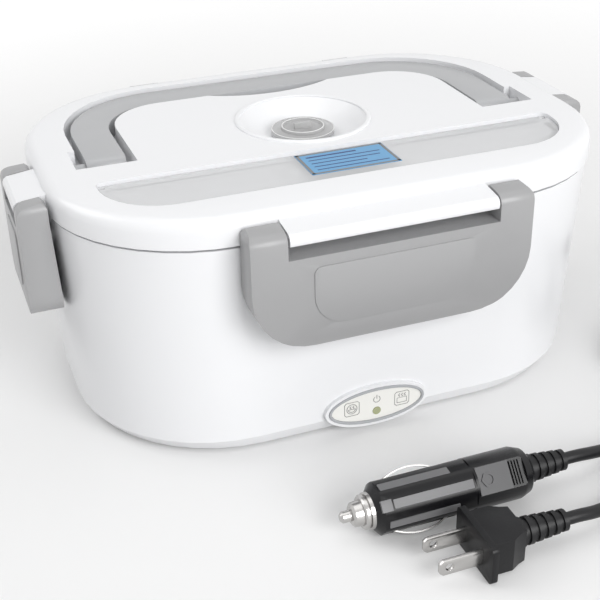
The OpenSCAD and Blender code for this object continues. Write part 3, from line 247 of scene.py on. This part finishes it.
box = [frame_of(XR, ZI), [(XR - 2.2, PY, ZI - 2.1), (XR - 2.2, PY, ZI + 0.3), (XR + 2.2, PY, ZI + 0.3),
                          (XR + 2.2, PY, ZI - 2.1), (XR - 2.2, PY, ZI - 2.1)],
       wave(XR - 1.3, ZI + 0.8, 1.6), wave(XR, ZI + 0.8, 1.6), wave(XR + 1.3, ZI + 0.8, 1.6)]
power = [arc(-1, 13.9, 1.5, 125, 415, 12), [(-1, PY, 14.2), (-1, PY, 16)]]
ink = material("panel_ink", (0.3, 0.3, 0.29), rough=0.5, bump=0.05, vary=0.1)
o = curve("panel_pictograms", bowl + box + power, 0.16, ink, "base", splines=True, kind="POLY")

def frame_box(node):
    """Centre x and y, top z and half width of a node's box, in mm"""
    o = nodes[node]
    pts = [o.matrix_world @ Vector(c) for c in o.bound_box]
    xs, ys, zs = zip(*[(p.x/MM, p.y/MM, p.z/MM) for p in pts])
    return (min(xs) + max(xs))/2, (min(ys) + max(ys))/2, max(zs), (max(xs) - min(xs))/2

# ---------- Label: dark border and blank ruled lines on the blue plate ----------
def slab(name, x0, x1, y0, y1, z0, z1, mat, body, r=0.4):
    bm = bmesh.new()
    pts = []
    for cx, cy, a in ((x1 - r, y1 - r, 0), (x0 + r, y1 - r, 90), (x0 + r, y0 + r, 180), (x1 - r, y0 + r, 270)):
        pts += [(cx + r*math.cos(math.radians(a + 22.5*k)), cy + r*math.sin(math.radians(a + 22.5*k)))
                for k in range(5)]
    low = [bm.verts.new((x*MM, y*MM, z0*MM)) for x, y in pts]
    top = [bm.verts.new((x*MM, y*MM, z1*MM)) for x, y in pts]
    bm.faces.new(top); bm.faces.new(low[::-1])
    for k in range(len(pts)):
        j = (k + 1) % len(pts)
        bm.faces.new((low[k], low[j], top[j], top[k]))
    me = bpy.data.meshes.new(name); bm.to_mesh(me); bm.free()
    me.materials.append(mat)
    o = bpy.data.objects.new(name, me)
    bpy.context.collection.objects.link(o)
    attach(o, body)
    return o
LZ = 107.8
border = material("label_edge", (0.2, 0.2, 0.2), rough=0.45, bump=0.03)
navy = material("label_ink", (0.03, 0.05, 0.16), rough=0.5, bump=0.03)
LABEL_X, LABEL_L, LABEL_W = 1.2, 38.6, 21.4
L0, L1 = LABEL_X - LABEL_L/2, LABEL_X + LABEL_L/2
W1 = -31.9 - 0.9                    # from the cover's pivot
W0 = W1 - LABEL_W
EDGE = 1.4
for k, (a, b, c, d) in enumerate(((L0 + .2, L1 - .2, W1 - EDGE, W1 - .2), (L0 + .2, L1 - .2, W0 + .2, W0 + EDGE),
                                  (L0 + .2, L0 + EDGE, W0 + .2, W1 - .2), (L1 - EDGE, L1 - .2, W0 + .2, W1 - .2))):
    slab("label_border_%d" % k, a, b, c, d, LZ - 0.05, LZ + 0.05, border, "window")
for k in range(5):
    high = 0.55 if k == 0 else 0.35
    right = L1 - (3.6, 13, 3.8, 5, 12)[(k + 1) % 5]
    mid = W1 - 4.1 - 3.3*k
    slab("label_rule_%d" % k, L0 + 3.6, right, mid - high, mid + high, LZ - 0.05, LZ + 0.03, navy,
         "window", r=0.2)

# ---------- Painted highlights on the vent plug: pale rings at its rims stand in for the light caught there ---
def painted_highlight_ring(name, cx, cy, z, r, tube):
    # a thin pale ring that paints a highlight along one rim of the plug
    pts = [(cx + r*math.cos(2*math.pi*k/48), cy + r*math.sin(2*math.pi*k/48), z) for k in range(49)]
    o = curve(name, [pts], tube, vent_highlight_paint, "vent", splines=True, kind="POLY")
# pale material of the rings, which are painted highlights on the plug's rims
vent_highlight_paint = material("vent_painted_highlight", (0.8, 0.8, 0.8), rough=0.2, bump=0.01, vary=0.01, coat=0.3)
VENT = frame_box("vent_plug")
# painted highlights: one ring on the plug's lower rim, one on its upper step
painted_highlight_ring("vent_highlight_ring_low", VENT[0], VENT[1], VENT[2] - 2.6, VENT[3] - 0.25, 0.22)
painted_highlight_ring("vent_highlight_ring_high", VENT[0], VENT[1], VENT[2] - 1.4, VENT[3]*0.7 - 0.6, 0.2)

# ---------- Studio ----------
def seen(nt):
    """1 for camera, glossy and transmission rays, 0 for the rays that light the object"""
    ray = nt.nodes.new("ShaderNodeLightPath")
    last = ray.outputs["Is Camera Ray"]
    for key in ("Is Glossy Ray", "Is Transmission Ray"):
        top = nt.nodes.new("ShaderNodeMath"); top.operation = "MAXIMUM"
        nt.links.new(last, top.inputs[0]); nt.links.new(ray.outputs[key], top.inputs[1])
        last = top.outputs[0]
    return last

def backdrop(m):
    """Lift the floor towards white where it is seen, more so far from the object"""
    nt = m.node_tree
    b = next(n for n in nt.nodes if n.type == "BSDF_PRINCIPLED")
    last = seen(nt)
    geo = nt.nodes.new("ShaderNodeNewGeometry")
    far = nt.nodes.new("ShaderNodeVectorMath"); far.operation = "LENGTH"
    nt.links.new(geo.outputs["Position"], far.inputs[0])
    grow = nt.nodes.new("ShaderNodeMapRange")
    for key, value in (("From Min", 0.2), ("From Max", 0.9), ("To Min", 0.12), ("To Max", 0.55)):
        grow.inputs[key].default_value = value
    nt.links.new(far.outputs["Value"], grow.inputs["Value"])
    gain = nt.nodes.new("ShaderNodeMath"); gain.operation = "MULTIPLY"
    nt.links.new(last, gain.inputs[0]); nt.links.new(grow.outputs["Result"], gain.inputs[1])
    b.inputs["Emission Color"].default_value = (1, 1, 1, 1)
    nt.links.new(gain.outputs[0], b.inputs["Emission Strength"])

def studio():
    me = bpy.data.meshes.new("floor")
    me.from_pydata([(-4, -4, 0), (4, -4, 0), (4, 4, 0), (-4, 4, 0)], [], [(0, 1, 2, 3)])
    m = material("floor", (0.74, 0.74, 0.74), rough=0.6, bump=0.01, vary=0.004, grain=60, spec=0.2)
    backdrop(m)
    me.materials.append(m)
    o = bpy.data.objects.new("floor", me)
    o.location = (0, 0, -0.0002)
    bpy.context.collection.objects.link(o)
    w = bpy.data.worlds.new("world"); bpy.context.scene.world = w
    w.use_nodes = True
    w.node_tree.nodes["Background"].inputs[0].default_value = (1, 1, 1, 1)
    nt = w.node_tree
    level = nt.nodes.new("ShaderNodeMapRange")
    level.inputs["To Min"].default_value, level.inputs["To Max"].default_value = 0.43, 1
    nt.links.new(seen(nt), level.inputs["Value"])
    nt.links.new(level.outputs["Result"], nt.nodes["Background"].inputs["Strength"])
    for name, loc, size, power in (("key", (0.35, -1.35, 0.75), 0.9, 17.2), ("top", (0.1, 0.1, 1.4), 1.1, 3.2),
                                   ("rim", (-0.9, 0.5, 0.9), 0.8, 4.5)):
        l = bpy.data.lights.new(name, "AREA"); l.energy, l.size = power, size
        o = bpy.data.objects.new(name, l)
        o.location = loc
        o.rotation_euler = (Vector(loc) - Vector((0, 0, 0.05))).to_track_quat("Z", "Y").to_euler()
        bpy.context.collection.objects.link(o)
studio()
bpy.context.scene.view_settings.view_transform = "Standard"
